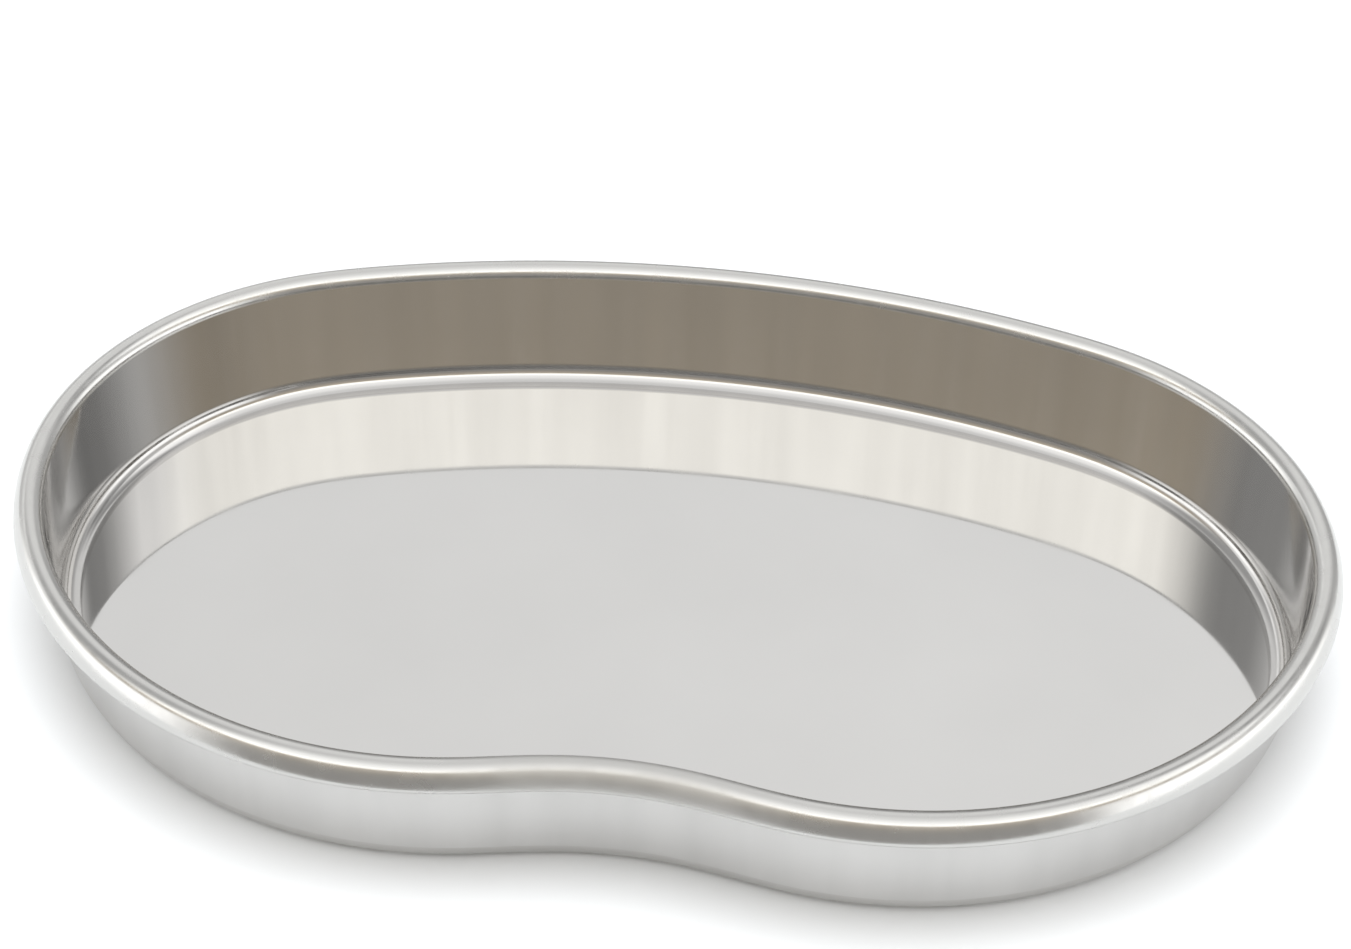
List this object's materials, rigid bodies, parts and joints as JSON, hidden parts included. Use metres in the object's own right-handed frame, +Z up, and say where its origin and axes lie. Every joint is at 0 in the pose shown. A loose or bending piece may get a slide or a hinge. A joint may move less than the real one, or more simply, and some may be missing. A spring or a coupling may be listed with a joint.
{
  "type": "kidney dish",
  "caption": "Shallow kidney-shaped tray of pressed steel: flat floor, rounded bottom edge, low near-upright wall with a shallow notch on one long side, and an outward-rolled hollow rim.",
  "frame": {"origin": "on the surface the dish stands on, under the middle of its outline", "axes": "+X along the dish's length, +Y towards the long curved back (the notch faces -Y), +Z up out of the dish"},
  "size_m": [0.24, 0.15, 0.027],
  "materials": {
    "polished_floor": "mirror polished stainless steel with faint wiping marks",
    "satin_steel": "satin stainless steel, fine upright polishing lines",
    "polished_rim": "buffed stainless steel, soft sheen"
  },
  "bodies": {
    "root": {"dish_floor": "polished_floor", "bottom_bend": "satin_steel", "side_wall": "satin_steel", "curled_rim": "polished_rim"}
  },
  "joints": []
}
